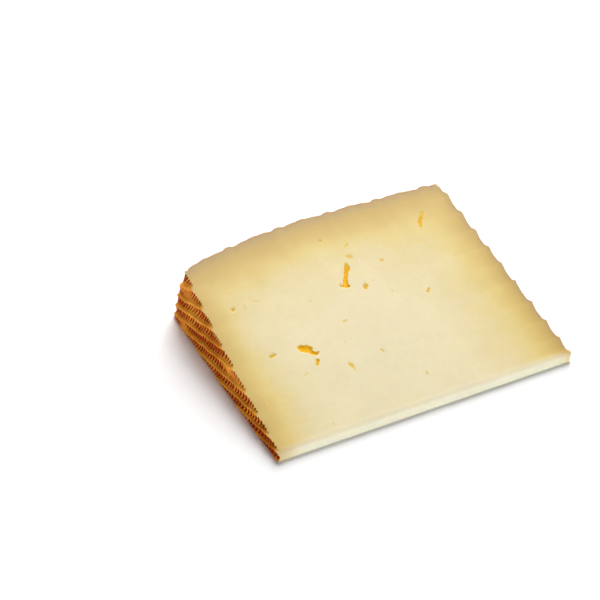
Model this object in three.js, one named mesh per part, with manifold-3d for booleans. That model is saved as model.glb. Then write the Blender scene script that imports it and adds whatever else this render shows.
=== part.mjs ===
// Thin wedge of a hard aged cheese, lying on one of its two cut faces.
// The whole cheese is a low drum whose rind keeps the print of the plaited grass belt it was
// pressed in. The wedge is a narrow sector of that drum, as tall as the drum lies long.
//
// Frame while building, in millimetres: the drum's axis is X, P runs out along the lower cut
// face and Q is up, so a point at radius r and angle a is (x, r cos a, r sin a).
// At the end the part is moved so that its origin is the middle of its footprint.

import * as THREE from "three";
import { mergeVertices, toCreasedNormals } from "three/addons/utils/BufferGeometryUtils.js";
import Module from "manifold-3d";

// Driving dimensions of the drum and of the sector cut from it.
const DRUM_RADIUS = 101.3;
const WEDGE_ANGLE = THREE.MathUtils.degToRad(12);
const TIP_RADIUS = 14.3; // the blunt tip ends this far from the drum's axis
const TIP_ROUNDING = 2.8;
const TIP_UNDER_ROUNDING = 0.5;

// The drum's two flats, as distances from its middle at the tip, and how far they draw in.
const LEFT_FLAT = 57;
const RIGHT_FLAT = 58;
const LEFT_SINK = 2.2; // from the tip out to the rim
const LEFT_SINK_POWER = 1.7;
const RIGHT_SINK = 2.6;
const LEFT_LEAN = 2.7; // at the rim, the left flat draws in by this up to the upper cut
const LEFT_LEAN_POWER = 1.5;
const RIGHT_LEAN = 1; // and the right one stands out by this, all along
const SINK_RUN = 81; // the radial run of both sinks

// The drum's side is fullest a little right of its middle and falls in towards each rim.
const CROWN_X = 8;
const LEFT_SHOULDER_DROP = 8.2;
const LEFT_SHOULDER_POWER = 2.2;
const RIGHT_SHOULDER_DROP = 0.7;
const RIGHT_SHOULDER_POWER = 2;
const LEFT_RIM_X = -55.4; // at the lower cut
const RIGHT_RIM_X = 55.6; // at the upper cut
const RIM_ROUNDING = 2.6;

// The belt's print on the flats: rows of slanted notches with a smooth ridge between two rows.
// Each row, from the tip to the rim: the radius where it meets the lower cut, and its slope.
const ROWS = [
  [-3.5, 12.3],
  [10, 12.5],
  [23.2, 12.7],
  [36.2, 12.9],
  [48.8, 13.6],
  [66, 13.2],
  [79.5, 14.8],
  [91.4, 16.8],
  [101.9, 17.8],
  [112.6, 19.3],
  [121, 21.3],
  [131.5, 23],
  [143, 24],
  [155, 25],
  [167, 26],
];
const COMB_HALF = 0.3; // half the width of a row of notches, in rows
const RIDGE_HALF = 0.13;
// Across a row the print falls in from the ridge above it, and a ledge leads to the ridge below.
const RIB_DEPTHS = [0.95, 0.2]; // between two notches, at a row's lower and upper edge
const NOTCH_DEPTHS = [1.5, 0.8];
const NOTCH_SLANT = THREE.MathUtils.degToRad(60); // of the notches against the lower cut
const NOTCH_PITCH = 1.47; // along the lower cut
const FIRST_NOTCH = 4; // where the lines of the first and last notches meet the lower cut
const LAST_NOTCH = 122;

// The belt's print round the side: bands that run round the drum, notches leaning to and fro.
const BAND_PITCH = 10.2;
const BAND_START = -65.2; // where the first band starts, outside the left flat
const BAND_RIDGE = 2.6;
const BAND_RIDGE_SAG = [0.1, 0.15]; // of the two edges of a ridge below its crest
const COMB_STEPS = [0.12, 0.86]; // where a comb's floor starts and ends, across the comb
const BAND_NOTCH_PITCH = 3.1;
const BAND_NOTCH_LEAN = 2.6; // sideways run of a notch across its band, along the side
const BAND_RIB_DEPTH = 0.4;
const BAND_NOTCH_DEPTH = 0.85;

const TOOL_MARGIN = 4; // how far tool bodies reach past the wedge
const ANGLE_MARGIN = 0.03; // the same, round the drum's axis
const CREASE_ANGLE = THREE.MathUtils.degToRad(25);
const PIT_RISE = 1; // how far the bodies that cut eyes stand above the cut face

// Openings in the paste that show on the upper cut face. Each is a path of stations
// [x, distance from the axis, width, depth] along its length.
const EYES = {
  tear: [
    [3.2, 77.8, 0.9, 0.8],
    [2.2, 76.4, 2.2, 2.4],
    [-0.2, 72.3, 1.3, 2.4],
    [-2.2, 69.2, 2.3, 3.0],
    [-3.0, 68.1, 2.6, 1.8],
  ],
  tearStart: [
    [6.6, 82.2, 1.1, 0.5],
    [5.4, 80.8, 2.4, 0.9],
    [4.3, 79.4, 1.2, 0.5],
  ],
  hollow: [
    [-30.3, 50.6, 1.6, 1.4],
    [-29.1, 50.0, 3.1, 3.0],
    [-27.7, 48.6, 2.7, 2.6],
    [-26.2, 47.0, 1.8, 1.8],
    [-25.3, 46.4, 0.8, 0.8],
  ],
  hollowFoot: [
    [-27.2, 44.3, 1.0, 0.9],
    [-27.8, 43.2, 1.8, 1.6],
    [-28.5, 42.1, 0.9, 0.8],
  ],
  slit: [
    [41.4, 89.4, 0.8, 0.8],
    [39.7, 86.8, 1.4, 1.6],
    [38.2, 84.6, 1.2, 1.2],
    [37.3, 83.4, 0.7, 0.8],
  ],
  middle: [
    [5.6, 67.6, 0.6, 0.5],
    [4.2, 66.4, 1.9, 1.3],
    [3.0, 65.0, 1.1, 0.8],
  ],
};
// How an opening narrows from the cut face to its floor, and how its floor tilts.
const PIT_FLOOR_LEFT = 0.6;
const PIT_FLOOR_RIGHT = 0.5;
const PIT_FLOOR_TILT = 0.9;

// Small eyes, a little longer along x than they are wide. Depths are shares of the width.
const SMALL_EYE_DEPTH = 0.8;
const SMALL_EYE_END_WIDTH = 0.5;
const SMALL_EYE_END_DEPTH = 0.3;
const SMALL_EYE_SLANT = 0.25; // sideways run of either end, in half widths
// Each is [x, distance from the axis, width].
const SMALL_EYES = [
  [-1.0, 89.8, 1.2],
  [-43.8, 72.5, 1.0],
  [-40.2, 50.6, 1.8],
  [15.7, 75.0, 1.6],
  [24.5, 57.4, 1.7],
  [12.4, 61.8, 1.2],
  [-9.9, 55.6, 1.5],
  [-14.5, 47.2, 1.4],
  [-17.3, 38.3, 1.8],
  [-35.5, 74.3, 1.6],
  [5.2, 26.2, 1.1],
  [32.3, 78.5, 1.4],
  [-50.3, 35.2, 1.2],
];

const wasm = await Module();
wasm.setup();

// Radius of the drum's side at x, before the belt's print. Rise is the share of the way from
// the lower cut to the upper one, and the rims shift along with the lean of the flats.
function sideRadius(x, rise) {
  const leftRim = LEFT_RIM_X + LEFT_LEAN * rise ** LEFT_LEAN_POWER;
  const rightRim = RIGHT_RIM_X - RIGHT_LEAN * (1 - rise);
  const left = Math.max(0, (CROWN_X - x) / (CROWN_X - LEFT_RIM_X));
  const right = Math.max(0, (x - CROWN_X) / (RIGHT_RIM_X - CROWN_X));
  const shoulder =
    LEFT_SHOULDER_DROP * left ** LEFT_SHOULDER_POWER +
    RIGHT_SHOULDER_DROP * right ** RIGHT_SHOULDER_POWER;
  const rim = Math.max(leftRim + RIM_ROUNDING - x, x - (rightRim - RIM_ROUNDING), 0);
  const arc = Math.sqrt(Math.max(0, RIM_ROUNDING ** 2 - rim ** 2));
  return DRUM_RADIUS - shoulder - (RIM_ROUNDING - arc);
}

// The left flat at radius r and at the same share of the way up, before the belt's print.
function leftFlatX(r, rise) {
  const run = Math.max(0, r - TIP_RADIUS) / SINK_RUN;
  const lean = LEFT_LEAN * run * rise ** LEFT_LEAN_POWER;
  return -LEFT_FLAT + LEFT_SINK * run ** LEFT_SINK_POWER + lean;
}

function rightFlatX(r, rise) {
  const run = Math.max(0, r - TIP_RADIUS) / SINK_RUN;
  return RIGHT_FLAT - RIGHT_SINK * run - RIGHT_LEAN * (1 - rise);
}

// A closed body from sections that all have the same number of points, as a manifold.
function loft(sections) {
  const count = sections[0].length;
  const positions = sections.flat().flat();
  const index = [];
  for (let s = 0; s + 1 < sections.length; s++) {
    for (let i = 0; i < count; i++) {
      const a = s * count + i;
      const b = s * count + ((i + 1) % count);
      index.push(a, b, b + count, a, b + count, a + count);
    }
  }
  const last = (sections.length - 1) * count;
  for (let i = 1; i + 1 < count; i++) {
    index.push(0, i + 1, i);
    index.push(last, last + i, last + i + 1);
  }
  return solidFrom(positions, index);
}

// A closed body between two grids of points with the same size, front and back, as a manifold.
function slabBetween(front, back) {
  const rows = front.length;
  const columns = front[0].length;
  const positions = [front, back].flat(3);
  const at = (face, i, j) => (face * rows + i) * columns + j;
  const index = [];
  const quad = (a, b, c, d) => index.push(a, b, c, a, c, d);
  for (let i = 0; i + 1 < rows; i++) {
    for (let j = 0; j + 1 < columns; j++) {
      quad(at(0, i, j), at(0, i + 1, j), at(0, i + 1, j + 1), at(0, i, j + 1));
      quad(at(1, i, j), at(1, i, j + 1), at(1, i + 1, j + 1), at(1, i + 1, j));
    }
  }
  for (let i = 0; i + 1 < rows; i++) {
    quad(at(0, i, 0), at(1, i, 0), at(1, i + 1, 0), at(0, i + 1, 0));
    const j = columns - 1;
    quad(at(0, i, j), at(0, i + 1, j), at(1, i + 1, j), at(1, i, j));
  }
  for (let j = 0; j + 1 < columns; j++) {
    quad(at(0, 0, j), at(0, 0, j + 1), at(1, 0, j + 1), at(1, 0, j));
    const i = rows - 1;
    quad(at(0, i, j), at(1, i, j), at(1, i, j + 1), at(0, i, j + 1));
  }
  return solidFrom(positions, index);
}

// Positions and triangles as a manifold whose faces point out.
function solidFrom(positions, index) {
  const point = (i) => new THREE.Vector3().fromArray(positions, 3 * i);
  let volume = 0;
  for (let i = 0; i < index.length; i += 3) {
    volume += point(index[i]).dot(point(index[i + 1]).cross(point(index[i + 2])));
  }
  const outward = volume > 0 ? index : [...index].reverse();
  return new wasm.Manifold(
    new wasm.Mesh({
      numProp: 3,
      vertProperties: new Float32Array(positions),
      triVerts: new Uint32Array(outward),
    }),
  );
}

// The sector between the two cuts, with its rounded blunt tip.
function sectorPrism() {
  const far = DRUM_RADIUS + TOOL_MARGIN;
  const shape = new THREE.Shape();
  const under = TIP_UNDER_ROUNDING;
  const turn = Math.PI / 2 - WEDGE_ANGLE; // the tip's face turns by this into the upper cut
  const run = TIP_ROUNDING * Math.tan(turn / 2);
  const tipTop = TIP_RADIUS * Math.tan(WEDGE_ANGLE);
  shape.moveTo(TIP_RADIUS + under, 0);
  shape.lineTo(far, 0);
  shape.lineTo(far, far * Math.tan(WEDGE_ANGLE));
  const centre = [TIP_RADIUS + TIP_ROUNDING, tipTop - run];
  shape.absarc(...centre, TIP_ROUNDING, Math.PI / 2 + WEDGE_ANGLE, Math.PI, false);
  shape.absarc(TIP_RADIUS + under, under, under, Math.PI, 1.5 * Math.PI, false);
  const length = LEFT_FLAT + RIGHT_FLAT + 2 * TOOL_MARGIN;
  const geometry = new THREE.ExtrudeGeometry(shape, {
    depth: length,
    bevelEnabled: false,
    curveSegments: 6,
  });
  // The shape's plane becomes P and Q, and its depth becomes X.
  const matrix = new THREE.Matrix4().makeBasis(
    new THREE.Vector3(0, 1, 0),
    new THREE.Vector3(0, 0, 1),
    new THREE.Vector3(1, 0, 0),
  );
  geometry.applyMatrix4(matrix);
  geometry.translate(-LEFT_FLAT - TOOL_MARGIN, 0, 0);
  geometry.deleteAttribute("normal");
  geometry.deleteAttribute("uv");
  const merged = mergeVertices(geometry, 1e-4);
  return solidFrom([...merged.attributes.position.array], [...merged.index.array]);
}

// The drum's printed side as a solid sector: bands round the drum with leaning notches.
function printedSide() {
  const outer = [];
  const inner = [];
  const stepAngle = BAND_NOTCH_PITCH / 2 / DRUM_RADIUS;
  const firstAngle = -ANGLE_MARGIN - 2 * stepAngle;
  const steps = Math.ceil((WEDGE_ANGLE + 2 * ANGLE_MARGIN) / stepAngle) + 4;
  const bands = Math.ceil((RIGHT_FLAT - BAND_START) / BAND_PITCH) + 1;
  const comb = BAND_PITCH - BAND_RIDGE;
  // Across a band: the smooth ridge, then the comb. Each entry holds the offset, the depth of
  // the ribs and of the notches there, and which way the notches have leant by then.
  const stations = [
    [0, BAND_RIDGE_SAG[0], BAND_RIDGE_SAG[0], 0],
    [BAND_RIDGE / 2, 0, 0, 0],
    [BAND_RIDGE, BAND_RIDGE_SAG[1], BAND_RIDGE_SAG[1], 0],
    [BAND_RIDGE + COMB_STEPS[0] * comb, BAND_RIB_DEPTH, BAND_NOTCH_DEPTH, -1],
    [BAND_RIDGE + COMB_STEPS[1] * comb, BAND_RIB_DEPTH, BAND_NOTCH_DEPTH, 1],
  ];
  const low = TIP_RADIUS - TOOL_MARGIN;
  for (let band = 0; band < bands; band++) {
    const start = BAND_START + band * BAND_PITCH;
    const lean = (band % 2 === 0 ? 1 : -1) * (BAND_NOTCH_LEAN / 2 / DRUM_RADIUS);
    for (const [offset, rib, notch, side] of stations) {
      const x = start + offset;
      const outerRow = [];
      const innerRow = [];
      for (let i = 0; i < steps; i++) {
        const angle = firstAngle + i * stepAngle + side * lean;
        const rise = THREE.MathUtils.clamp(angle / WEDGE_ANGLE, 0, 1);
        const r = sideRadius(x, rise) - (i % 2 === 1 ? notch : rib);
        outerRow.push([x, r * Math.cos(angle), r * Math.sin(angle)]);
        innerRow.push([x, low * Math.cos(angle), low * Math.sin(angle)]);
      }
      outer.push(outerRow);
      inner.push(innerRow);
    }
  }
  return slabBetween(outer, inner);
}

// Foot and slope at a place between two rows, where n counts rows from the first one.
function rowAt(n) {
  const row = Math.floor(n);
  const [foot, slope] = ROWS[row];
  const [nextFoot, nextSlope] = ROWS[row + 1];
  return {
    foot: foot + (nextFoot - foot) * (n - row),
    slope: THREE.MathUtils.degToRad(slope + (nextSlope - slope) * (n - row)),
  };
}

// Everything between the two printed flats: rows of notches with ridges between them.
function printedFlats() {
  const left = [];
  const right = [];
  const columns = Math.ceil((2 * (LAST_NOTCH - FIRST_NOTCH)) / NOTCH_PITCH);
  // Across a row: the lower and upper edges of its comb, then those of the ridge above it.
  const stations = [
    [-COMB_HALF, RIB_DEPTHS[0], NOTCH_DEPTHS[0]],
    [COMB_HALF, RIB_DEPTHS[1], NOTCH_DEPTHS[1]],
    [0.5 - RIDGE_HALF, 0, 0],
    [0.5 + RIDGE_HALF, 0, 0],
  ];
  for (let row = 1; row + 1 < ROWS.length; row++) {
    for (const [offset, rib, notch] of stations) {
      const { foot, slope } = rowAt(row + offset);
      const leftRow = [];
      const rightRow = [];
      for (let i = 0; i < columns; i++) {
        // From the lower cut along the notch's slanted line, to where that meets the row.
        const start = FIRST_NOTCH + (i * NOTCH_PITCH) / 2;
        const run = (Math.sin(slope) * (foot - start)) / Math.sin(NOTCH_SLANT - slope);
        const p = start - run * Math.cos(NOTCH_SLANT);
        const q = run * Math.sin(NOTCH_SLANT);
        const depth = (i + row) % 2 === 1 ? notch : rib;
        const r = Math.hypot(p, q);
        const rise = THREE.MathUtils.clamp(Math.atan2(q, p) / WEDGE_ANGLE, 0, 1);
        leftRow.push([leftFlatX(r, rise) + depth, p, q]);
        rightRow.push([rightFlatX(r, rise) - depth, p, q]);
      }
      left.push(leftRow);
      right.push(rightRow);
    }
  }
  return slabBetween(left, right);
}

// One opening in the paste below the upper cut face, wide at the top and narrow at its floor.
function eyePit(stations) {
  const up = [0, -Math.sin(WEDGE_ANGLE), Math.cos(WEDGE_ANGLE)];
  const out = [0, Math.cos(WEDGE_ANGLE), Math.sin(WEDGE_ANGLE)];
  const place = (x, s, height) => [x, s * out[1] + height * up[1], s * out[2] + height * up[2]];
  const sections = stations.map(([x, s, width, depth], i) => {
    const before = stations[Math.max(0, i - 1)];
    const after = stations[Math.min(stations.length - 1, i + 1)];
    const run = new THREE.Vector2(after[0] - before[0], after[1] - before[1]).normalize();
    const corner = (half, height) => place(x - run.y * half, s + run.x * half, height);
    const half = width / 2;
    return [
      corner(-half, PIT_RISE),
      corner(-half, 0),
      corner(-half * PIT_FLOOR_LEFT, -depth),
      corner(half * PIT_FLOOR_RIGHT, -depth * PIT_FLOOR_TILT),
      corner(half, 0),
      corner(half, PIT_RISE),
    ];
  });
  return loft(sections);
}

function smallEyePit([x, s, width]) {
  const half = width / 2;
  const slant = SMALL_EYE_SLANT * half;
  const endWidth = SMALL_EYE_END_WIDTH * width;
  const endDepth = SMALL_EYE_END_DEPTH * width;
  return eyePit([
    [x - half, s - slant, endWidth, endDepth],
    [x, s, width, SMALL_EYE_DEPTH * width],
    [x + half, s + slant, endWidth, endDepth],
  ]);
}

let wedge = sectorPrism().intersect(printedSide()).intersect(printedFlats());
for (const stations of Object.values(EYES)) wedge = wedge.subtract(eyePit(stations));
for (const eye of SMALL_EYES) wedge = wedge.subtract(smallEyePit(eye));

function geometryOf(solid) {
  const mesh = solid.getMesh();
  const geometry = new THREE.BufferGeometry();
  geometry.setAttribute("position", new THREE.BufferAttribute(mesh.vertProperties, 3));
  geometry.setIndex(new THREE.BufferAttribute(mesh.triVerts, 1));
  geometry.computeBoundingBox();
  const box = geometry.boundingBox;
  geometry.translate(-(box.min.x + box.max.x) / 2, -(box.min.y + box.max.y) / 2, -box.min.z);
  return toCreasedNormals(geometry, CREASE_ANGLE);
}

const paste = new THREE.MeshStandardMaterial({ color: 0xeedfb4, roughness: 0.55, metalness: 0 });
const cheeseWedge = new THREE.Mesh(geometryOf(wedge), paste);
cheeseWedge.name = "cheese_wedge";

const model = new THREE.Group();
model.add(cheeseWedge);

export default model;
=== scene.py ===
import math

import bmesh
import bpy
import numpy as np
from mathutils import Matrix, Vector


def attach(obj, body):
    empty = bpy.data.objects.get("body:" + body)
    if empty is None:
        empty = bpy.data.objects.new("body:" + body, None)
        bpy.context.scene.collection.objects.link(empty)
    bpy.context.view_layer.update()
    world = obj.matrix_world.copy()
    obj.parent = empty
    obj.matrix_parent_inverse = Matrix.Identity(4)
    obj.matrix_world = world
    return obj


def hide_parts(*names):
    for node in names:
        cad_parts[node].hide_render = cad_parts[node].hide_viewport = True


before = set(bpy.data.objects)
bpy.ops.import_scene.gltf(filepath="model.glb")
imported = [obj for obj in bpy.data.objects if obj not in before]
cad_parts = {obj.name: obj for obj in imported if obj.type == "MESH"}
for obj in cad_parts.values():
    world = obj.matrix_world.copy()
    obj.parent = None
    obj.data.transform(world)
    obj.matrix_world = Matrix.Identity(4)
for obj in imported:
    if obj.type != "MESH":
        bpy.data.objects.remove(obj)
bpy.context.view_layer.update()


# The wedge of cheese
# A narrow sector of a pressed drum of hard aged cheese, cut with a long knife. The drum was
# pressed in a belt of plaited grass, whose print is the relief of the golden rind on its two
# flats and round its side. The wedge lies on one of its cuts, ivory paste on both of them.

# The drum and the two cuts, in millimetres. The drum's axis is x, p runs out along the lower
# cut and q is up, so a point at radius r and angle a is (x, r cos a, r sin a).
DRUM_RADIUS = 101.3
WEDGE_ANGLE = math.radians(12)
TIP_RADIUS = 14.3  # the second cut missed the drum's middle and left a blunt tip
TIP_ROUNDING = 2.8
TIP_UNDER_ROUNDING = 0.5
LEFT_FLAT = 57.0  # the flats' distances from the middle, at the tip
RIGHT_FLAT = 58.0
MIDDLE_X = 0.455  # the middle of the finished wedge's footprint
MIDDLE_P = 57.8

# The flats sink in on their way out from the tip. Upwards the left one leans in, and the right
# one out.
SINK_RUN = 81.0
LEFT_SINK = 2.2
LEFT_SINK_POWER = 1.7
LEFT_LEAN = 2.7
LEFT_LEAN_POWER = 1.5
RIGHT_SINK = 2.6
RIGHT_LEAN = 1.0

# The side is fullest at its crown and drops to a shoulder at each flat.
CROWN_X = 8.0
LEFT_SHOULDER_DROP = 8.2
LEFT_SHOULDER_POWER = 2.2
RIGHT_SHOULDER_DROP = 0.7
RIM_ROUNDING = 2.6


def smooth_step(low, high, value):
    """0 below low, 1 above high, and an even curve between them."""
    share = np.clip((value - low) / (high - low), 0.0, 1.0)
    return share * share * (3.0 - 2.0 * share)


def side_radius(x):
    """The radius of the drum's side."""
    left = np.maximum(0.0, (CROWN_X - x) / (CROWN_X + LEFT_FLAT - LEFT_SINK))
    right = np.maximum(0.0, (x - CROWN_X) / (RIGHT_FLAT - RIGHT_SINK - CROWN_X))
    return (DRUM_RADIUS - LEFT_SHOULDER_DROP * left ** LEFT_SHOULDER_POWER
            - RIGHT_SHOULDER_DROP * right ** 2)


def left_flat_x(r, rise):
    """Where the left flat lies, at a radius and a share of the way from cut to cut."""
    run = np.maximum(0.0, r - TIP_RADIUS) / SINK_RUN
    lean = LEFT_LEAN * run * rise ** LEFT_LEAN_POWER
    return -LEFT_FLAT + LEFT_SINK * run ** LEFT_SINK_POWER + lean


def right_flat_x(r, rise):
    """The same for the right flat."""
    run = np.maximum(0.0, r - TIP_RADIUS) / SINK_RUN
    return RIGHT_FLAT - RIGHT_SINK * run - RIGHT_LEAN * (1.0 - rise)


# The print on the flats: rows of slanted notches, with a smooth ridge between two rows. Across
# a row the print falls in from the ridge above it, and a ledge leads to the ridge below. The
# rows are given from the tip to the rim, each by where its line meets the lower cut, in
# millimetres from the axis, and by its slope in degrees.
ROWS = np.array([
    (-3.5, 12.3),
    (10.0, 12.5),
    (23.2, 12.7),
    (36.2, 12.9),
    (48.8, 13.6),
    (66.0, 13.2),
    (79.5, 14.8),
    (91.4, 16.8),
    (101.9, 17.8),
    (112.6, 19.3),
    (121.0, 21.3),
    (131.5, 23.0),
    (143.0, 24.0),
    (155.0, 25.0),
    (167.0, 26.0),
])
# The section of a row: how far the ribs between its notches lie below the ridges. Places -1 and
# 1 are the row's lower and upper edge, and -2 and 2 the middles of the ridges next to it.
RIB_SECTION = [(-2.0, 0.0), (-1.1, 0.85), (0.0, 0.75), (0.5, 0.45), (1.2, 0.06), (2.0, 0.0)]
ROW_EDGE = [(0.85, 1.0), (1.2, 0.0)]  # how a row passes into the ridges beside it, by place
GROOVE_EDGE = (0.08, 0.34)  # a notch's flat middle and its edge, as shares of the notches' pitch
WORN_FOOT = 2.0  # mm above the lower cut, over which the print fades
LEAST_FOOT = 0.35  # share of the print that is left at the lower cut
# The left flat's ribs are as in RIB_SECTION. The right one's lie deeper, their notches less so.
LEFT_PRINT = (1.0, 0.2)  # share of the section, and depth of the notches below the ribs
RIGHT_PRINT = (1.2, 0.1)
# Values that change from near the tip to near the rim, each with its distance from the axis.
# Rows get narrower. Notches stand upright and bowed at first, then lean over and straighten.
ROW_HALVES = [(20.0, 0.41), (50.0, 0.39), (85.0, 0.34)]
NOTCH_LEANS = [(20.0, 0.1), (85.0, 0.62)]
NOTCH_BOWS = [(20.0, -0.2), (85.0, 0.0)]
FIRST_NOTCH = 4.0  # where the first notch's line meets the lower cut
NOTCHES_PER_MM = 0.56  # at the first notch
NOTCH_CROWDING = 0.001  # more notches per mm, for each mm further out
NOTCHES = 90
NOTCH_SHIFT = 0.13  # how far a notch may sit from its place, as a share of their pitch
# Where the print of the left flat is worn nearly smooth: p, q, reach along each, and how much.
WORN = [
    (51.0, 8.0, 8.5, 2.0, 0.85),
    (85.0, 1.4, 6.5, 2.2, 0.75),
    (62.5, 12.6, 5.0, 1.6, 0.45),
    (70.0, 15.4, 5.0, 1.4, 0.35),
    (87.0, 13.5, 5.0, 3.2, 0.7),
    (79.0, 17.6, 4.0, 1.4, 0.3),
]

draw = np.random.default_rng(12)
notch_strength = draw.uniform(0.6, 1.0, (len(ROWS), NOTCHES))
notch_shift = draw.uniform(-NOTCH_SHIFT, NOTCH_SHIFT, (len(ROWS), NOTCHES))
WAVES = 24
wave_turns = draw.uniform(0.0, 2.0 * math.pi, WAVES)
wave_starts = draw.uniform(0.0, 2.0 * math.pi, WAVES)


def waves(a, b, size, first, count=6):
    """A smooth uneven field between about -1 and 1, with bumps of about one size."""
    total = np.zeros_like(a)
    for i in range(count):
        turn = wave_turns[(first + i) % WAVES]
        start = wave_starts[(first + i) % WAVES]
        stretch = 2.0 * math.pi / (size * (0.75 + 0.1 * i))
        total += np.sin((a * math.cos(turn) + b * math.sin(turn)) * stretch + start)
    return total / math.sqrt(2.0 * count)


def flat_print(p, q, worn, rib_share, notch_depth):
    """Depth of the print on a flat, its rows from 0 to 1, the notches' phase and darkness."""
    # The lines of the plait wander a little.
    p = p + 0.35 * waves(p, q, 14.0, 0)
    q = q + 0.22 * waves(p, q, 9.0, 6)

    # How far each row's foot line lies below the point, then the point's place among the rows.
    feet = ROWS[:, 0]
    slopes = np.radians(ROWS[:, 1])
    above = np.sin(slopes)[:, None] * (p - feet[:, None]) + np.cos(slopes)[:, None] * q
    row = np.clip((above >= 0.0).sum(axis=0) - 1, 0, len(ROWS) - 2)
    each = np.arange(len(p))
    low, high = above[row, each], above[row + 1, each]
    n = row + np.clip(low / (low - high), 0.0, 1.0)
    nearest = np.round(n).astype(int)
    offset = n - nearest
    half = np.interp(p, *zip(*ROW_HALVES))
    on_ridge = 1.0 + (np.abs(offset) - half) / (0.5 - half)
    place = np.where(np.abs(offset) > half, np.sign(offset) * on_ridge, offset / half)

    lean = np.interp(p, *zip(*NOTCH_LEANS))
    bow = np.interp(p, *zip(*NOTCH_BOWS))
    line = p + lean * q + bow * place ** 2 - FIRST_NOTCH
    phase = line * (NOTCHES_PER_MM + NOTCH_CROWDING * line) + nearest / 2.0
    number = np.clip(np.floor(phase).astype(int), 0, NOTCHES - 1)
    phase = phase + notch_shift[nearest, number]

    kept = 1.0 - worn
    comb = np.interp(np.abs(place), *zip(*ROW_EDGE))
    taper = np.clip(1.0 - np.abs(place / 1.1) ** 6, 0.0, 1.0)
    dark = np.sqrt(taper) * notch_strength[nearest, number] * kept
    off_centre = np.abs(phase - np.floor(phase) - 0.5)
    groove = dark * (1.0 - smooth_step(*GROOVE_EDGE, off_centre))
    ribs = np.interp(place, *zip(*RIB_SECTION))
    depth = rib_share * ribs * (0.5 + 0.5 * kept) + notch_depth * groove
    foot = LEAST_FOOT + (1.0 - LEAST_FOOT) * smooth_step(0.0, WORN_FOOT, q)
    return depth * foot, comb * (0.3 + 0.7 * kept), phase, dark


def worn_left(p, q):
    """How worn the left flat's print is, from 0 to 1."""
    kept = np.ones_like(p)
    for at_p, at_q, reach_p, reach_q, much in WORN:
        kept *= 1.0 - much * np.exp(-((p - at_p) / reach_p) ** 2 - ((q - at_q) / reach_q) ** 2)
    return 1.0 - kept


def worn_right(p, q):
    """The same for the right flat, which is worn in a few wide patches."""
    return 0.7 * smooth_step(0.35, 1.0, waves(p, q, 26.0, 12))


# The print round the side: bands that run round the drum, notches leaning to and fro.
BAND_START = -65.2  # x of the first band's ridge
BAND_PITCH = 10.2
BAND_RIDGE = 2.6  # the smooth part of the pitch
BAND_NOTCH_PITCH = 3.1
BAND_NOTCH_LEAN = 2.6  # how far round the drum a notch leans from edge to edge of its band
BAND_RIB_DEPTH = 0.25
BAND_NOTCH_DEPTH = 0.6
BAND_GROOVE_EDGE = (0.06, 0.42)
BAND_CREST = 0.12  # how far the ridges between the bands fall off to their edges
BAND_FIRST_ANGLE = -0.03 - BAND_NOTCH_PITCH / DRUM_RADIUS


def side_print(x, angle):
    """The same as flat_print, for the print on the drum's side."""
    round_side = angle * DRUM_RADIUS
    place = (x - BAND_START + 0.5 * waves(x, round_side, 18.0, 3)) / BAND_PITCH
    band = np.floor(place)
    into = ((place - band) * BAND_PITCH - BAND_RIDGE) / (BAND_PITCH - BAND_RIDGE)
    comb = smooth_step(-0.06, 0.16, into) * (1.0 - smooth_step(0.82, 1.04, into))
    lean = np.where(band % 2 == 0, 1.0, -1.0) * BAND_NOTCH_LEAN / 2.0
    past_first = (angle - BAND_FIRST_ANGLE) * DRUM_RADIUS
    phase = (past_first - lean * (2.0 * into - 1.0)) / BAND_NOTCH_PITCH
    off_centre = np.abs(phase - np.floor(phase) - 0.5)
    dark = comb * (0.72 + 0.28 * waves(x, round_side, 7.0, 9))
    groove = comb * (1.0 - smooth_step(*BAND_GROOVE_EDGE, off_centre))
    crest = BAND_CREST * (1.0 - comb) * np.clip((into * 2.9 + 0.5) * 2.0, -1.0, 1.0) ** 2
    depth = BAND_RIB_DEPTH * comb + (BAND_NOTCH_DEPTH - BAND_RIB_DEPTH) * groove + crest
    deeper = 1.0 + 0.35 * waves(x, round_side, 23.0, 18)
    uneven = 0.12 * waves(x, round_side, 11.0, 15)
    return depth * deeper + uneven, comb, phase, dark


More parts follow.
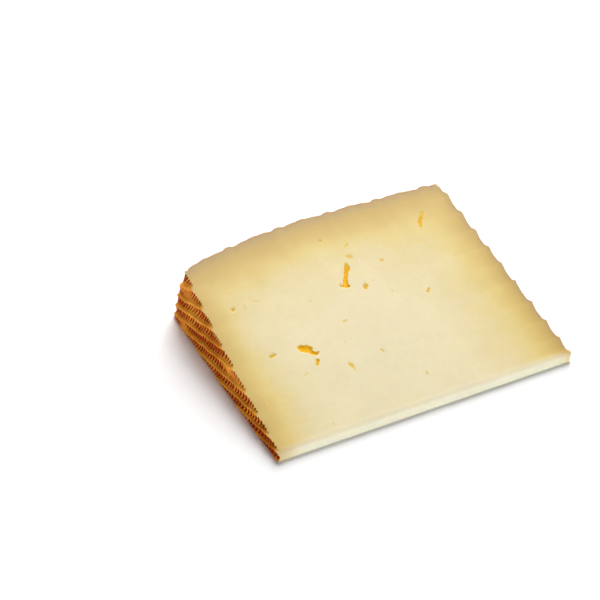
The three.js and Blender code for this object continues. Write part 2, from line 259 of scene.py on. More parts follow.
# The openings in the paste. Each is a path of stations: x, distance s from the drum's axis
# along the cut, width and depth. The upper cut's largest ones come first.
EYES_ABOVE = [
    [(2.8, 77.2, 2.0, 0.3), (2.3, 75.7, 2.3, 0.8), (1.0, 74.1, 1.6, 1.4), (-0.3, 72.2, 1.3, 1.6),
     (-1.4, 70.2, 1.6, 1.6), (-1.9, 68.7, 2.2, 1.4)],
    [(-3.7, 69.1, 1.2, 0.4), (-2.6, 68.6, 1.5, 1.1), (-1.3, 68.3, 1.5, 1.0)],
    [(-29.6, 49.8, 2.8, 1.6), (-27.8, 48.8, 3.1, 1.7), (-27.2, 47.2, 1.8, 1.4),
     (-26.2, 46.1, 1.2, 1.1), (-25.1, 46.6, 0.7, 0.7)],
    [(-26.9, 43.5, 1.4, 0.9), (-28.0, 42.1, 1.0, 0.8)],
    [(41.6, 89.5, 1.5, 0.4), (40.3, 87.9, 1.7, 0.5), (38.2, 85.8, 1.5, 0.9),
     (37.5, 83.8, 1.1, 0.7)],
    [(4.6, 66.5, 2.0, 0.45), (4.0, 65.8, 2.0, 0.5), (3.8, 65.0, 0.9, 0.4)],
    [(-17.6, 39.0, 1.2, 0.24), (-17.2, 37.9, 1.7, 0.42), (-17.0, 35.2, 0.6, 0.18)],
    [(-41.0, 50.3, 1.5, 0.5), (-39.4, 50.6, 1.2, 0.5)],
    [(-43.2, 72.8, 0.6, 0.5), (-44.1, 72.2, 0.9, 0.7)],
    [(6.6, 80.6, 1.5, 0.2), (5.8, 79.8, 2.3, 0.3), (4.8, 80.5, 1.7, 0.25)],
    [(7.7, 85.3, 1.4, 0.3), (6.2, 84.2, 1.1, 0.24)],
    [(25.2, 57.6, 0.9, 0.4), (23.9, 56.5, 1.0, 0.5)],
    [(15.4, 75.4, 1.0, 0.24), (15.7, 74.5, 1.4, 0.36), (16.7, 75.0, 0.8, 0.2)],
    [(-1.0, 89.6, 1.0, 0.5), (-0.8, 90.2, 0.8, 0.4)],
    [(25.2, 83.2, 1.1, 0.15), (25.3, 81.7, 0.9, 0.15)],
    [(32.4, 78.4, 1.3, 0.21), (33.2, 77.0, 0.9, 0.15)],
    [(-42.3, 80.9, 0.6, 0.18), (-41.6, 79.2, 0.8, 0.27)],
    [(-35.9, 75.5, 0.7, 0.24), (-35.9, 74.2, 0.6, 0.18)],
    [(-35.8, 73.2, 0.7, 0.24), (-34.2, 73.1, 0.8, 0.3)],
    [(-39.5, 73.1, 0.9, 0.18), (-39.6, 71.9, 1.1, 0.24)],
    [(-28.0, 69.8, 0.7, 0.15), (-29.3, 66.8, 0.6, 0.15)],
    [(-29.1, 80.2, 0.5, 0.3), (-29.3, 79.5, 0.5, 0.3)],
    [(4.7, 71.9, 1.1, 0.18), (6.8, 72.5, 0.6, 0.09)],
    [(6.4, 67.3, 0.8, 0.18), (9.3, 67.7, 0.6, 0.12)],
    [(-27.7, 45.6, 0.5, 0.21), (-27.4, 44.7, 0.5, 0.21)],
    [(-34.1, 39.6, 0.6, 0.24), (-32.7, 40.2, 0.6, 0.3)],
    [(-45.2, 54.6, 0.6, 0.18), (-45.2, 54.0, 0.6, 0.18)],
    [(-50.0, 35.8, 1.0, 0.18), (-50.4, 34.1, 1.4, 0.27)],
    [(-38.5, 26.6, 0.8, 0.18), (-38.0, 26.5, 0.8, 0.18)],
    [(-34.3, 19.4, 0.6, 0.21), (-35.2, 18.7, 0.9, 0.24)],
    [(-20.9, 34.5, 0.5, 0.18), (-21.4, 33.9, 0.5, 0.18)],
    [(-36.8, 23.5, 0.5, 0.18), (-36.3, 22.2, 0.5, 0.15)],
    [(12.3, 61.6, 0.9, 0.24), (12.5, 61.2, 0.8, 0.3)],
    [(5.5, 46.3, 0.6, 0.18), (5.3, 44.4, 0.6, 0.18)],
    [(-4.6, 40.2, 0.9, 0.3), (-4.2, 39.6, 1.0, 0.4)],
    [(-17.8, 67.2, 1.2, 0.18), (-16.9, 66.8, 1.3, 0.21)],
    [(-10.8, 55.0, 0.9, 0.3), (-9.2, 55.3, 0.8, 0.33)],
    [(-14.3, 47.8, 0.7, 0.21), (-14.7, 46.1, 0.5, 0.21)],
    [(5.4, 26.6, 0.7, 0.36), (5.1, 25.5, 0.7, 0.36)],
    [(35.9, 44.2, 0.6, 0.12), (37.9, 44.6, 0.6, 0.15), (38.5, 43.9, 0.7, 0.12)],
]


SMALL_EYES_BELOW = 26
TEARS_BELOW = 4


def small_eye(x, s, width, depth):
    """A short path for a small eye, turned at random, that narrows to both ends."""
    half = 0.32 * width
    turn = draw.uniform(0.0, math.pi)
    step_x, step_s = half * math.cos(turn), half * math.sin(turn)
    return [(x - step_x, s - step_s, 0.7 * width, 0.6 * depth), (x, s, width, depth),
            (x + step_x, s + step_s, 0.65 * width, 0.6 * depth)]


def eyes_below():
    """Eyes for the lower cut, drawn at random with the sizes that the upper cut shows."""
    paths = []
    for _ in range(SMALL_EYES_BELOW):
        x, s = draw.uniform(-50.0, 50.0), draw.uniform(20.0, 92.0)
        width = draw.uniform(0.9, 1.9)
        paths.append(small_eye(x, s, width, draw.uniform(0.3, 0.8) * width))
    for _ in range(TEARS_BELOW):
        x, s = draw.uniform(-35.0, 35.0), draw.uniform(35.0, 80.0)
        turn, length = draw.uniform(0.0, math.pi), draw.uniform(2.0, 5.5)
        step_x, step_s = length / 2 * math.cos(turn), length / 2 * math.sin(turn)
        paths.append([(x - step_x, s - step_s, 1.0, 0.9), (x, s, 2.1, 2.0),
                      (x + step_x, s + step_s, 0.9, 0.8)])
    return paths


EYES = {
    "above": EYES_ABOVE,
    "below": eyes_below(),
}


def along_paths(x, s, paths):
    """For each stretch of each path: how far off the points are, its half width and depth."""
    for path in paths:
        for (x0, s0, w0, d0), (x1, s1, w1, d1) in zip(path, path[1:]):
            run = (x1 - x0) ** 2 + (s1 - s0) ** 2
            along = np.clip(((x - x0) * (x1 - x0) + (s - s0) * (s1 - s0)) / run, 0.0, 1.0)
            away = np.hypot(x - x0 - along * (x1 - x0), s - s0 - along * (s1 - s0))
            yield away, (w0 + along * (w1 - w0)) / 2.0, d0 + along * (d1 - d0)


SOFT_EYE = 0.5  # mm: shallower eyes have no clear edge


def pit_depth(x, s, paths):
    """How deep into the paste its openings let one look, at each point of a cut."""
    ragged = 0.16 * waves(x, s, 2.1, 9) + 0.1 * waves(x, s, 0.9, 4)
    deepest = np.zeros_like(x)
    for away, half, deep in along_paths(x, s, paths):
        inside = 1.0 - away / half + ragged / np.sqrt(half)
        clear = np.clip(deep / SOFT_EYE, 0.0, 1.0)
        wall = smooth_step(-0.7 + 0.5 * clear, 0.9 - 0.4 * clear, inside)
        deepest = np.maximum(deepest, deep * wall)
    return deepest


# The relief of the print fades inside the block of points over these shares of its reach.
FADE_ACROSS = 1 / 12
FADE_OUT = 1 / 10


def spread(across, out, rise, printed):
    """Where a block's points lie in the wedge, by shares of its reach: x, radius and prints."""
    angle = rise * WEDGE_ANGLE
    tip = TIP_RADIUS / np.cos(angle)
    x = -LEFT_FLAT + across * (LEFT_FLAT + RIGHT_FLAT)
    r = tip + out * (DRUM_RADIUS - tip)
    near_left = np.clip(1.0 - across / FADE_ACROSS, 0.0, 1.0)
    near_right = np.clip(1.0 - (1.0 - across) / FADE_ACROSS, 0.0, 1.0)
    near_side = np.clip(1.0 - (1.0 - out) / FADE_OUT, 0.0, 1.0)
    left_mark = right_mark = side_mark = (np.zeros_like(x),) * 4
    # The flats depend on the radius and the side on x, so the two are settled in turns.
    for _ in range(4):
        p, q = r * np.cos(angle), r * np.sin(angle)
        left, right = left_flat_x(r, rise), right_flat_x(r, rise)
        if printed:
            left_mark = flat_print(p, q, worn_left(p, q), *LEFT_PRINT)
            right_mark = flat_print(p, q, worn_right(p, q), *RIGHT_PRINT)
        x = left + across * (right - left)
        x += near_left * left_mark[0] - near_right * right_mark[0]
        side = side_radius(x)
        if printed:
            side_mark = side_print(x, angle)
        r = tip + out * (side - tip) - near_side * side_mark[0]
    return x, r, (left_mark, right_mark, side_mark)


# The mesh starts as the outside of a block whose corners are at 0 and 1: across from the left
# flat to the right one, out from the tip to the side, and up from the lower cut to the upper.
ACROSS, OUT, UP = 94, 74, 14
RIND_CUTS = 3  # further cuts in each edge of the printed faces
NEAR = 1e-5  # as a share of the block, near enough to one of its faces to lie on it
body = bmesh.new()
bmesh.ops.create_cube(body, size=1.0, matrix=Matrix.Translation((0.5, 0.5, 0.5)))
for axis, count in enumerate((ACROSS, OUT, UP)):
    along_axis = [edge for edge in body.edges
                  if abs(edge.verts[0].co[axis] - edge.verts[1].co[axis]) > NEAR]
    bmesh.ops.subdivide_edges(body, edges=along_axis, cuts=count - 1, use_grid_fill=True)


def on_rind(centre):
    """Whether a face of the block lies on a flat or on the side."""
    return min(centre.x, 1.0 - centre.x, 1.0 - centre.y) < NEAR


def in_border(centre):
    """Whether a face of a cut lies against the rind or over the tip's rounding."""
    edge_x = min(centre.x, 1.0 - centre.x)
    at_rim = edge_x < 1.0 / ACROSS or centre.y > 1.0 - 1.0 / OUT
    at_tip = centre.y < 3.0 / OUT and centre.z > 0.5
    return not on_rind(centre) and centre.y > NEAR and (at_rim or at_tip)


def faces_near_eyes(margin, least_width):
    """The faces of both cuts that lie within a margin of an eye at least so wide."""
    found = []
    for level, paths in ((1.0, EYES["above"]), (0.0, EYES["below"])):
        wide = [path for path in paths if max(station[2] for station in path) >= least_width]
        faces = [face for face in body.faces
                 if abs(face.calc_center_median().z - level) < NEAR]
        centres = np.array([face.calc_center_median()[:2] for face in faces])
        x, r, _ = spread(centres[:, 0], centres[:, 1], np.full(len(faces), level), False)
        gap = np.full(len(faces), 1e3)
        for away, half, _ in along_paths(x, r, wide):
            gap = np.minimum(gap, away - half)
        found += [faces[i] for i in np.flatnonzero(gap < margin)]
    return found


def cut_finer(faces, cuts):
    """Cuts every edge of some faces, and the faces with them."""
    edges = {edge for face in faces for edge in face.edges}
    bmesh.ops.subdivide_edges(body, edges=list(edges), cuts=cuts, use_grid_fill=True)


cut_finer([face for face in body.faces if on_rind(face.calc_center_median())], RIND_CUTS)
cut_finer([face for face in body.faces if in_border(face.calc_center_median())], RIND_CUTS)
cut_finer(faces_near_eyes(margin=0.5, least_width=0.0), 3)
cut_finer(faces_near_eyes(margin=0.3, least_width=2.0), 1)

# The rind gets the second material, and its border with the paste stays sharp.
for face in body.faces:
    face.smooth = True
    face.material_index = 1 if on_rind(face.calc_center_median()) else 0
for edge in body.edges:
    edge.smooth = len({face.material_index for face in edge.link_faces}) == 1
wedge_mesh = bpy.data.meshes.new("cheese")
body.to_mesh(wedge_mesh)
body.free()

block = np.empty(3 * len(wedge_mesh.vertices))
wedge_mesh.vertices.foreach_get("co", block)
across, out, rise = block.reshape(-1, 3).T
x, r, (left_mark, right_mark, side_mark) = spread(across, out, rise, True)
angle = rise * WEDGE_ANGLE


def round_corner(a, b, centre, first, second):
    """Pulls points that lie outside a rounded corner in, between its two outward directions."""
    from_a, from_b = a - centre[0], b - centre[1]
    turn = first[0] * second[1] - first[1] * second[0]
    beyond_first = (first[0] * from_b - first[1] * from_a) / turn > 0.0
    beyond_second = (from_a * second[1] - from_b * second[0]) / turn > 0.0
    length = np.maximum(np.hypot(from_a, from_b), 1e-9)
    reach = np.maximum(from_a * first[0] + from_b * first[1],
                       from_a * second[0] + from_b * second[1])
    keep = np.where(beyond_first & beyond_second, reach / length, 1.0)
    return centre[0] + from_a * keep, centre[1] + from_b * keep


# The rims between the flats and the side, and the edges of the blunt tip, are rounded.
rim_x = left_flat_x(r, rise) + RIM_ROUNDING
rim_centre = (rim_x, side_radius(rim_x) - RIM_ROUNDING)
x, r = round_corner(x, r, rim_centre, (-1.0, 0.0), (0.0, 1.0))
rim_x = right_flat_x(r, rise) - RIM_ROUNDING
rim_centre = (rim_x, side_radius(rim_x) - RIM_ROUNDING)
x, r = round_corner(x, r, rim_centre, (1.0, 0.0), (0.0, 1.0))
p, q = r * np.cos(angle), r * np.sin(angle)
upward = (-math.sin(WEDGE_ANGLE), math.cos(WEDGE_ANGLE))
tip_centre_p = TIP_RADIUS + TIP_ROUNDING
tip_centre_q = tip_centre_p * math.tan(WEDGE_ANGLE) - TIP_ROUNDING / math.cos(WEDGE_ANGLE)
p, q = round_corner(p, q, (tip_centre_p, tip_centre_q), (-1.0, 0.0), upward)
p, q = round_corner(p, q, (TIP_RADIUS + TIP_UNDER_ROUNDING, TIP_UNDER_ROUNDING),
                    (-1.0, 0.0), (0.0, -1.0))

# Eyes open below each cut. Their shapes are sunk less than the depth that the eye looks into,
# because light comes through the paste about them.
PIT_SHARE = 0.32
s = np.hypot(p, q)
opened = np.where(rise > 1.0 - NEAR, pit_depth(x, s, EYES["above"]), 0.0)
opened = np.where(rise < NEAR, pit_depth(x, s, EYES["below"]), opened)
sunk = PIT_SHARE * opened * smooth_step(0.0, 0.5, opened)
p = p - np.where(rise > 0.5, sunk * upward[0], 0.0)
q = q - np.where(rise > 0.5, sunk * upward[1], -sunk)

points = np.stack([x - MIDDLE_X, p - MIDDLE_P, q], axis=1) / 1000.0
wedge_mesh.vertices.foreach_set("co", points.ravel())
wedge_mesh.update()

# What the materials need to know at each point, in millimetres or as shares from 0 to 1.
from_left = x - left_flat_x(s, rise) - left_mark[0]
from_right = right_flat_x(s, rise) - right_mark[0] - x
from_side = side_radius(x) - side_mark[0] - s

# Paste near the flats and at the tip has dried less than near the side. These lists bring a
# distance in from a flat to the one from the side that looks the same.
SIDE_SHARE = 0.9  # of the distance from the side itself counts
FRESH_TIP = 5.0  # mm from the tip, over which the right flat's border is less dry
FRESH_TIP_GAIN = 7.0  # mm that are added to the distance from that flat at the tip
LEFT_LIKE_SIDE = [
    (0.0, 5.0), (1.2, 7.2), (5.4, 11.2), (8.4, 15.5), (12.4, 20.0), (17.4, 27.0), (27.0, 36.0),
    (60.0, 66.0)]
RIGHT_LIKE_SIDE = [
    (0.0, 0.0), (0.4, 0.4), (1.0, 1.7), (2.3, 4.0), (5.8, 8.5), (12.8, 14.0), (26.8, 22.0),
    (60.0, 50.0)]
LEAST = 0.01  # mm
at_tip = 1.0 - smooth_step(0.0, FRESH_TIP, s - TIP_RADIUS)
like_left = np.maximum(np.interp(from_left, *zip(*LEFT_LIKE_SIDE)), LEAST)
like_right = np.maximum(np.interp(from_right, *zip(*RIGHT_LIKE_SIDE)), LEAST)
like_side = np.maximum(SIDE_SHARE * from_side, LEAST)
rims = [like_side, like_left, like_right + FRESH_TIP_GAIN * at_tip]
on_point = {
    "below_cut": p * math.sin(WEDGE_ANGLE) - q * math.cos(WEDGE_ANGLE),
    "rim_distance": sum(rim ** -4.0 for rim in rims) ** -0.25,  # the nearest, with no crease
    "tip_distance": s - TIP_RADIUS,
    "eye_depth": opened,
}
for name, values in on_point.items():
    layer = wedge_mesh.attributes.new(name, "FLOAT", "POINT")
    layer.data.foreach_set("value", values.astype(np.float32))

# The print is kept for each corner of each face, because a rim's points lie on two prints.
corner = np.empty(len(wedge_mesh.loops), dtype=np.int32)
wedge_mesh.loops.foreach_get("vertex_index", corner)
first = np.empty(len(wedge_mesh.polygons), dtype=np.int32)
wedge_mesh.polygons.foreach_get("loop_start", first)
printed = []
for on_side, mark in ((across < NEAR, left_mark), (across > 1.0 - NEAR, right_mark),
                      (out > 1.0 - NEAR, side_mark)):
    whole = np.logical_and.reduceat(on_side[corner], first)
    printed.append((np.repeat(whole, np.diff(np.append(first, len(corner)))), mark))
for name, kind in (("comb", 1), ("notch_phase", 2), ("notch_dark", 3)):
    values = np.zeros(len(corner))
    for whole, mark in printed:
        values = np.where(whole, mark[kind][corner], values)
    layer = wedge_mesh.attributes.new(name, "FLOAT", "CORNER")
    layer.data.foreach_set("value", values.astype(np.float32))


def colour(hex_code):
    """An sRGB hex colour as linear RGBA."""
    channels = [int(hex_code[i:i + 2], 16) / 255 for i in (1, 3, 5)]
    return [c / 12.92 if c <= 0.04045 else ((c + 0.055) / 1.055) ** 2.4 for c in channels] + [1.0]


def add(tree, kind, inputs=None, stops=None, **settings):
    """Adds a node with its settings, its colour stops, and its inputs as values or links."""
    made = tree.nodes.new(kind)
    for name, value in settings.items():
        setattr(made, name, value)
    for name, value in (inputs or {}).items():
        if isinstance(value, bpy.types.NodeSocket):
            tree.links.new(value, made.inputs[name])
        else:
            made.inputs[name].default_value = value
    if stops:
        elements = made.color_ramp.elements
        while len(elements) < len(stops):
            elements.new(1.0)
        for element, (position, hex_code) in zip(elements, stops):
            element.position = position
            element.color = colour(hex_code)
    return made


# Cut paste of a hard cheese: ivory, close and a little waxy, sliced clean by a knife. Light
# goes a few millimetres in. It dries to straw and tan towards the rind, and is amber where an
# eye looks into deeper paste.
paste = bpy.data.materials.new("hard_cheese_paste_cut")
paste.use_nodes = True
tree = paste.node_tree
tree.nodes.clear()
place = add(tree, "ShaderNodeTexCoord").outputs["Object"]
rim = add(tree, "ShaderNodeAttribute", attribute_name="rim_distance").outputs["Fac"]
tip = add(tree, "ShaderNodeAttribute", attribute_name="tip_distance").outputs["Fac"]
eye = add(tree, "ShaderNodeAttribute", attribute_name="eye_depth").outputs["Fac"]

# Drying: from tan at the rind to ivory in the middle, a little further in here than there.
DRY_REACH = 42.0  # mm
drift = add(tree, "ShaderNodeTexNoise", {"Vector": place, "Scale": 1 / 0.016, "Detail": 2.0})
uneven = add(tree, "ShaderNodeMapRange", {
    "Value": drift.outputs["Fac"], "From Min": 0.3, "From Max": 0.7,
    "To Min": 0.88, "To Max": 1.12})
rim = add(tree, "ShaderNodeMath", {0: rim, 1: uneven.outputs["Result"]},
          operation="MULTIPLY").outputs[0]
reach = add(tree, "ShaderNodeMath", {0: rim, 1: DRY_REACH}, operation="DIVIDE").outputs[0]
dried = add(tree, "ShaderNodeValToRGB", {"Fac": reach}, stops=[
    (0.0, "#7c5a34"),
    (0.3 / DRY_REACH, "#a8864f"),
    (1.0 / DRY_REACH, "#b19459"),
    (3.2 / DRY_REACH, "#be9f55"),
    (5.0 / DRY_REACH, "#c5a455"),
    (7.5 / DRY_REACH, "#cbad5d"),
    (10.5 / DRY_REACH, "#d4b96b"),
    (13.5 / DRY_REACH, "#dac37b"),
    (17.5 / DRY_REACH, "#dcc98e"),
    (23.5 / DRY_REACH, "#dfcfa0"),
    (30.0 / DRY_REACH, "#e2d4a9"),
    (1.0, "#dfd3ab"),
]).outputs["Color"]

# The blunt tip: freshly cut, still moist and nearly white, with more light coming through it,
# less so towards the rind. Its rounding is painted lightest: painted light that lifts the shade
# falling there between the lamps.
TIP_REACH = 4.0  # mm
from_rind = add(tree, "ShaderNodeMapRange", {"Value": rim, "From Min": 1.0, "From Max": 15.0})
blunt = add(tree, "ShaderNodeMapRange", {
    "Value": tip, "From Min": 0.4, "From Max": 3.6, "To Min": 0.9, "To Max": 0.0},
    interpolation_type="SMOOTHSTEP")
blunt = add(tree, "ShaderNodeMath", {
    0: blunt.outputs["Result"], 1: from_rind.outputs["Result"]}, operation="MULTIPLY").outputs[0]
tip = add(tree, "ShaderNodeMath", {0: tip, 1: TIP_REACH}, operation="DIVIDE").outputs[0]
# Painted light: the ramp is lightest over the tip's rounding, paler than the tip face below it.
moist_and_painted_light = add(tree, "ShaderNodeValToRGB", {"Fac": tip}, stops=[
    (0.2 / TIP_REACH, "#eae7d0"),
    (0.8 / TIP_REACH, "#faf6e2"),
    (1.8 / TIP_REACH, "#f6efd6"),
]).outputs["Color"]
tone = add(tree, "ShaderNodeMix", {"Factor": blunt, 6: dried, 7: moist_and_painted_light},
           data_type="RGBA").outputs[2]
glow = add(tree, "ShaderNodeMapRange", {"Value": blunt, "To Min": 0.35, "To Max": 0.9}
           ).outputs["Result"]

# The eyes: straw where shallow, amber where deep, and duller than the cut about them.
DEEPEST_EYE = 1.4  # mm, beyond which all eyes are equally amber
looked_into = add(tree, "ShaderNodeMath", {0: eye, 1: DEEPEST_EYE}, operation="DIVIDE")
amber = add(tree, "ShaderNodeValToRGB", {"Fac": looked_into.outputs[0]}, stops=[
    (0.0, "#e2cc84"),
    (0.3 / DEEPEST_EYE, "#dfbf5e"),
    (0.6 / DEEPEST_EYE, "#e2b43a"),
    (1.0 / DEEPEST_EYE, "#f4b824"),
    (1.0, "#f8ba18"),
]).outputs["Color"]
into = add(tree, "ShaderNodeMapRange", {"Value": eye, "From Min": 0.0, "From Max": 0.35},
           interpolation_type="SMOOTHSTEP").outputs["Result"]
tone = add(tree, "ShaderNodeMix", {"Factor": into, 6: tone, 7: amber},
           data_type="RGBA").outputs[2]
shine = add(tree, "ShaderNodeMapRange", {"Value": into, "To Min": 0.3, "To Max": 0.05}
            ).outputs["Result"]

# The close texture: clouds of a centimetre, grain of two millimetres, and crumb as bumps.
grain = add(tree, "ShaderNodeTexNoise", {
    "Vector": place, "Scale": 1 / 0.0022, "Detail": 4.0, "Roughness": 0.6})
cloud = add(tree, "ShaderNodeTexNoise", {"Vector": place, "Scale": 1 / 0.011, "Detail": 2.0})
mottle = add(tree, "ShaderNodeMath", {0: grain.outputs["Fac"], 1: cloud.outputs["Fac"]},
             operation="ADD")
mottle = add(tree, "ShaderNodeMapRange", {
    "Value": mottle.outputs[0], "From Min": 0.7, "From Max": 1.3,
    "To Min": 0.965, "To Max": 1.02})
tone = add(tree, "ShaderNodeHueSaturation", {"Color": tone, "Value": mottle.outputs["Result"]}
           ).outputs["Color"]
crumb = add(tree, "ShaderNodeTexNoise", {
    "Vector": place, "Scale": 1 / 0.0006, "Detail": 5.0, "Roughness": 0.65})
skin = add(tree, "ShaderNodeBump", {
    "Height": crumb.outputs["Fac"], "Strength": 0.25, "Distance": 0.00012})
shader = add(tree, "ShaderNodeBsdfPrincipled", {
    "Base Color": tone, "Roughness": 0.5, "IOR": 1.45, "Specular IOR Level": shine,
    "Subsurface Weight": glow, "Subsurface Radius": (1.0, 0.72, 0.35),
    "Subsurface Scale": 0.0022, "Normal": skin.outputs["Normal"]})
add(tree, "ShaderNodeOutputMaterial", {"Surface": shader.outputs["BSDF"]})

# Pressed rind: the drum's dried outer skin, oiled and rubbed golden. The plait's notches hold
# the dark red brown of old oil and dust, painted darker still as painted shade, because their
# relief is kept shallow. The ribs between them stay orange, and the smooth ridges shine a little.
rind = bpy.data.materials.new("pressed_cheese_rind_oiled")
rind.use_nodes = True
tree = rind.node_tree
tree.nodes.clear()
point = add(tree, "ShaderNodeTexCoord")
place = point.outputs["Object"]
comb = add(tree, "ShaderNodeAttribute", attribute_name="comb").outputs["Fac"]
phase = add(tree, "ShaderNodeAttribute", attribute_name="notch_phase").outputs["Fac"]
dark = add(tree, "ShaderNodeAttribute", attribute_name="notch_dark").outputs["Fac"]
below = add(tree, "ShaderNodeAttribute", attribute_name="below_cut").outputs["Fac"]

# Gold on the ridges and brick in the rows, in patches of a centimetre. Beside the upper cut the
# knife has scraped the rind pale.
patch = add(tree, "ShaderNodeTexNoise", {"Vector": place, "Scale": 1 / 0.009, "Detail": 3.0})
gold = add(tree, "ShaderNodeValToRGB", {"Fac": patch.outputs["Fac"]}, stops=[
    (0.3, "#dc861e"), (0.5, "#ea982a"), (0.7, "#f6ad3e")]).outputs["Color"]
brick = add(tree, "ShaderNodeValToRGB", {"Fac": patch.outputs["Fac"]}, stops=[
    (0.4, "#a84e1c"), (0.6, "#dd8630")]).outputs["Color"]
tone = add(tree, "ShaderNodeMix", {"Factor": comb, 6: gold, 7: brick},
           data_type="RGBA").outputs[2]
scraped = add(tree, "ShaderNodeMapRange", {
    "Value": below, "From Min": 0.2, "From Max": 1.0, "To Min": 0.6, "To Max": 0.0}
    ).outputs["Result"]
tone = add(tree, "ShaderNodeMix", {"Factor": scraped, 6: tone, 7: colour("#e6bc74")},
           data_type="RGBA").outputs[2]

# The notches, drawn finer than the mesh: a dark stroke about the middle of each, with ragged
# edges, broader near the tip, partly oil and dust and partly painted shade. The phase goes from
# 0 to 1 across one notch and its rib.
fleck = add(tree, "ShaderNodeTexNoise", {"Vector": place, "Scale": 1 / 0.0012, "Detail": 4.0})
wobble = add(tree, "ShaderNodeMapRange", {
    "Value": fleck.outputs["Fac"], "From Min": 0.3, "From Max": 0.7,
    "To Min": -0.09, "To Max": 0.09})
phase = add(tree, "ShaderNodeMath", {0: phase, 1: wobble.outputs["Result"]}, operation="ADD")
phase = add(tree, "ShaderNodeMath", {0: phase.outputs[0]}, operation="FRACT")
aside = add(tree, "ShaderNodeMath", {0: phase.outputs[0], 1: 0.5}, operation="SUBTRACT")
aside = add(tree, "ShaderNodeMath", {0: aside.outputs[0]}, operation="ABSOLUTE")
out_from_tip = add(tree, "ShaderNodeSeparateXYZ", {"Vector": place}).outputs["Y"]
finer = add(tree, "ShaderNodeMapRange", {
    "Value": out_from_tip, "From Min": -0.04, "From Max": 0.03, "To Min": 0.8, "To Max": 1.05})
aside = add(tree, "ShaderNodeMath", {0: aside.outputs[0], 1: finer.outputs["Result"]},
            operation="MULTIPLY")
stroke = add(tree, "ShaderNodeMapRange", {
    "Value": aside.outputs[0], "From Min": 0.15, "From Max": 0.33, "To Min": 1.0, "To Max": 0.0},
    interpolation_type="SMOOTHSTEP")
dark = add(tree, "ShaderNodeMapRange", {"Value": dark, "From Min": 0.08, "From Max": 0.75},
           interpolation_type="SMOOTHSTEP")
notch_oil_and_shade_mask = add(tree, "ShaderNodeMath", {0: stroke.outputs["Result"], 1: dark.outputs["Result"]},
           operation="MULTIPLY")
# Painted shade over oil and dust: the strokes stand in for the shade inside the shallow notches.
notch_oil_and_painted_shade = add(tree, "ShaderNodeMix", {
    "Factor": scraped, 6: colour("#761b03"), 7: colour("#5a3a0c")}, data_type="RGBA").outputs[2]
tone = add(tree, "ShaderNodeMix", {"Factor": notch_oil_and_shade_mask.outputs[0], 6: tone, 7: notch_oil_and_painted_shade},
           data_type="RGBA").outputs[2]

# Dust gives it flecks of a millimetre. The right flat and the side, which face the high soft box,
# are painted darker than the left one: painted shade that tones down that light.
dust = add(tree, "ShaderNodeMapRange", {
    "Value": fleck.outputs["Fac"], "From Min": 0.3, "From Max": 0.7,
    "To Min": 0.88, "To Max": 1.1})
# Painted shade: rind that does not face left is darkened, by the direction of its normal.
facing = add(tree, "ShaderNodeSeparateXYZ", {"Vector": point.outputs["Normal"]}).outputs["X"]
painted_shade_facing_key = add(tree, "ShaderNodeMapRange", {
    "Value": facing, "From Min": -0.9, "From Max": -0.3, "To Min": 1.0, "To Max": 0.68})
value = add(tree, "ShaderNodeMath", {0: dust.outputs["Result"], 1: painted_shade_facing_key.outputs["Result"]},
            operation="MULTIPLY").outputs[0]
tone = add(tree, "ShaderNodeHueSaturation", {"Color": tone, "Value": value}).outputs["Color"]
shine = add(tree, "ShaderNodeMapRange", {"Value": comb, "To Min": 0.07, "To Max": 0.0}
            ).outputs["Result"]
pores = add(tree, "ShaderNodeTexNoise", {"Vector": place, "Scale": 1 / 0.0005, "Detail": 4.0})
skin = add(tree, "ShaderNodeBump", {
    "Height": pores.outputs["Fac"], "Strength": 0.4, "Distance": 0.0001})
shader = add(tree, "ShaderNodeBsdfPrincipled", {
    "Base Color": tone, "Roughness": 0.5, "IOR": 1.45, "Specular IOR Level": shine,
    "Subsurface Weight": 0.1, "Subsurface Radius": (1.0, 0.5, 0.2),
    "Subsurface Scale": 0.0008, "Normal": skin.outputs["Normal"]})
add(tree, "ShaderNodeOutputMaterial", {"Surface": shader.outputs["BSDF"]})

wedge_mesh.materials.append(paste)
wedge_mesh.materials.append(rind)
wedge = bpy.data.objects.new("wedge_of_cheese", wedge_mesh)
bpy.context.collection.objects.link(wedge)
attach(wedge, "root")
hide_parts("cheese_wedge")


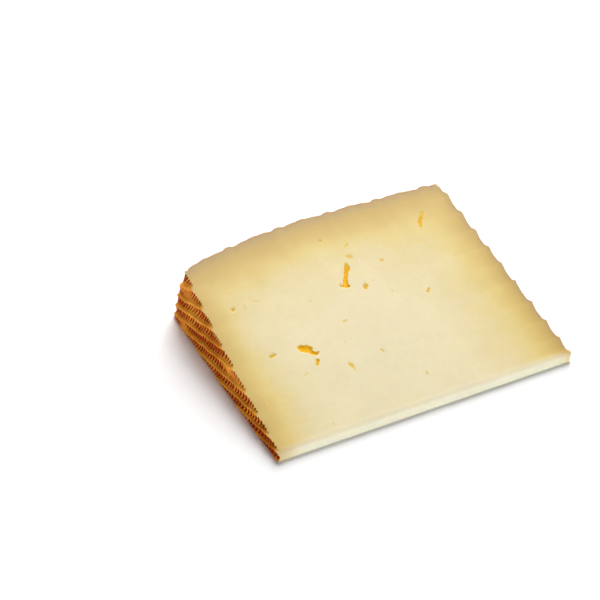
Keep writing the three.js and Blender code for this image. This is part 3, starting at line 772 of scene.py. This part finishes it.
# The floor
# A plain white studio sweep, matt paper, which shows only a soft shadow beside the wedge.
FLOOR_REACH = 3.0  # m
corners = [(-FLOOR_REACH, -FLOOR_REACH, 0.0), (FLOOR_REACH, -FLOOR_REACH, 0.0),
           (FLOOR_REACH, FLOOR_REACH, 0.0), (-FLOOR_REACH, FLOOR_REACH, 0.0)]
floor_mesh = bpy.data.meshes.new("floor")
floor_mesh.from_pydata(corners, [], [(0, 1, 2, 3)])
floor = bpy.data.objects.new("floor", floor_mesh)
bpy.context.collection.objects.link(floor)
paper = bpy.data.materials.new("white_paper_matt")
paper.use_nodes = True
sheet = paper.node_tree.nodes["Principled BSDF"]
sheet.inputs["Base Color"].default_value = colour("#fbfbfb")
sheet.inputs["Roughness"].default_value = 0.9
sheet.inputs["Specular IOR Level"].default_value = 0.1
floor_mesh.materials.append(paper)


# The studio light
# A dim room, one large soft box high up behind the wedge on its right, which gives the shadow on
# the left, and two weak low ones from the front and from the left, which open up the tip and the
# print of the left flat.
room = bpy.data.worlds.new("white_room")
bpy.context.scene.world = room
room.use_nodes = True
room.node_tree.nodes["Background"].inputs["Color"].default_value = colour("#ffffff")
room.node_tree.nodes["Background"].inputs["Strength"].default_value = 0.05


def soft_box(name, place, width, height, watts):
    """A soft box at a place, turned to the middle of the floor."""
    lamp = bpy.data.lights.new(name, "AREA")
    lamp.shape = "RECTANGLE"
    lamp.size = width
    lamp.size_y = height
    lamp.energy = watts
    box = bpy.data.objects.new(name, lamp)
    bpy.context.collection.objects.link(box)
    box.location = place
    box.rotation_euler = (-Vector(place)).to_track_quat("-Z", "Y").to_euler()


soft_box("high_box_behind_right", (0.527, 0.843, 0.834), 0.92, 1.18, 32.8)
soft_box("low_box_front", (0.2, -0.92, 0.13), 0.6, 0.22, 5.0)
soft_box("low_box_left", (-0.93, -0.3, 0.13), 0.4, 0.22, 3.6)


# The camera
# A long lens from the front left, looking down, turned a little as it was held.
CAMERA_HEADING = math.radians(32.87)
CAMERA_ELEVATION = math.radians(38.87)
CAMERA_ROLL = math.radians(5.33)
CAMERA_DISTANCE = 0.59535
CAMERA_TARGET = Vector((-0.011199, 0.024024, 0.0))
lens = bpy.data.cameras.new("camera")
lens.sensor_width = 36.0
lens.lens = 102.0
camera = bpy.data.objects.new("camera", lens)
bpy.context.collection.objects.link(camera)
turn = (Matrix.Rotation(-CAMERA_HEADING, 4, "Z")
        @ Matrix.Rotation(math.pi / 2 - CAMERA_ELEVATION, 4, "X")
        @ Matrix.Rotation(CAMERA_ROLL, 4, "Z"))
camera.matrix_world = (Matrix.Translation(CAMERA_TARGET) @ turn
                       @ Matrix.Translation((0.0, 0.0, CAMERA_DISTANCE)))
bpy.context.scene.camera = camera
bpy.context.scene.view_settings.view_transform = "Standard"  # whites stay white, as in a print
